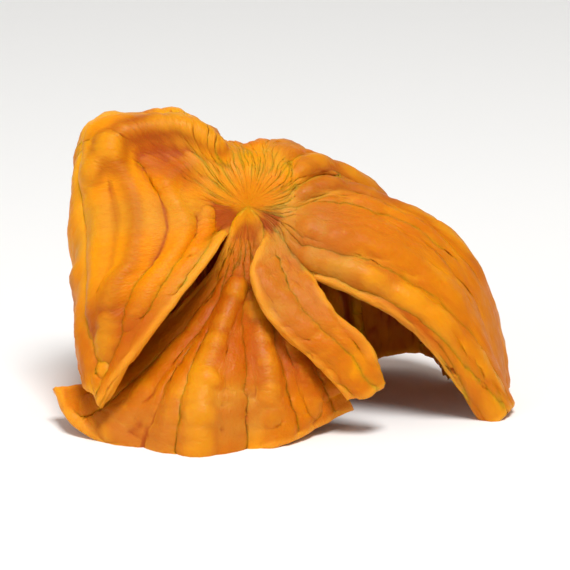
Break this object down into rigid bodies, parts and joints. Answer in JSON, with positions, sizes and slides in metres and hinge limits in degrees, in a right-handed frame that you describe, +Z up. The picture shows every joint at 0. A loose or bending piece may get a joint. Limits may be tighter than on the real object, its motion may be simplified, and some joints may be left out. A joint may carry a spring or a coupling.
{
  "type": "dried persimmon slice",
  "caption": "Round slice of persimmon dried to a leathery sheet, torn towards its core and crumpled into a standing hood with a fan and a tongue in front.",
  "frame": {"origin": "middle of the footprint box, on the surface that the slice rests on", "axes": "+Z up, +X towards the tip of the right wing, -Y towards the fan that lies in front"},
  "size_m": [0.054, 0.04, 0.0366],
  "materials": {
    "dried_flesh": null
  },
  "bodies": {
    "root": {"dried_slice": "dried_flesh"}
  },
  "joints": []
}
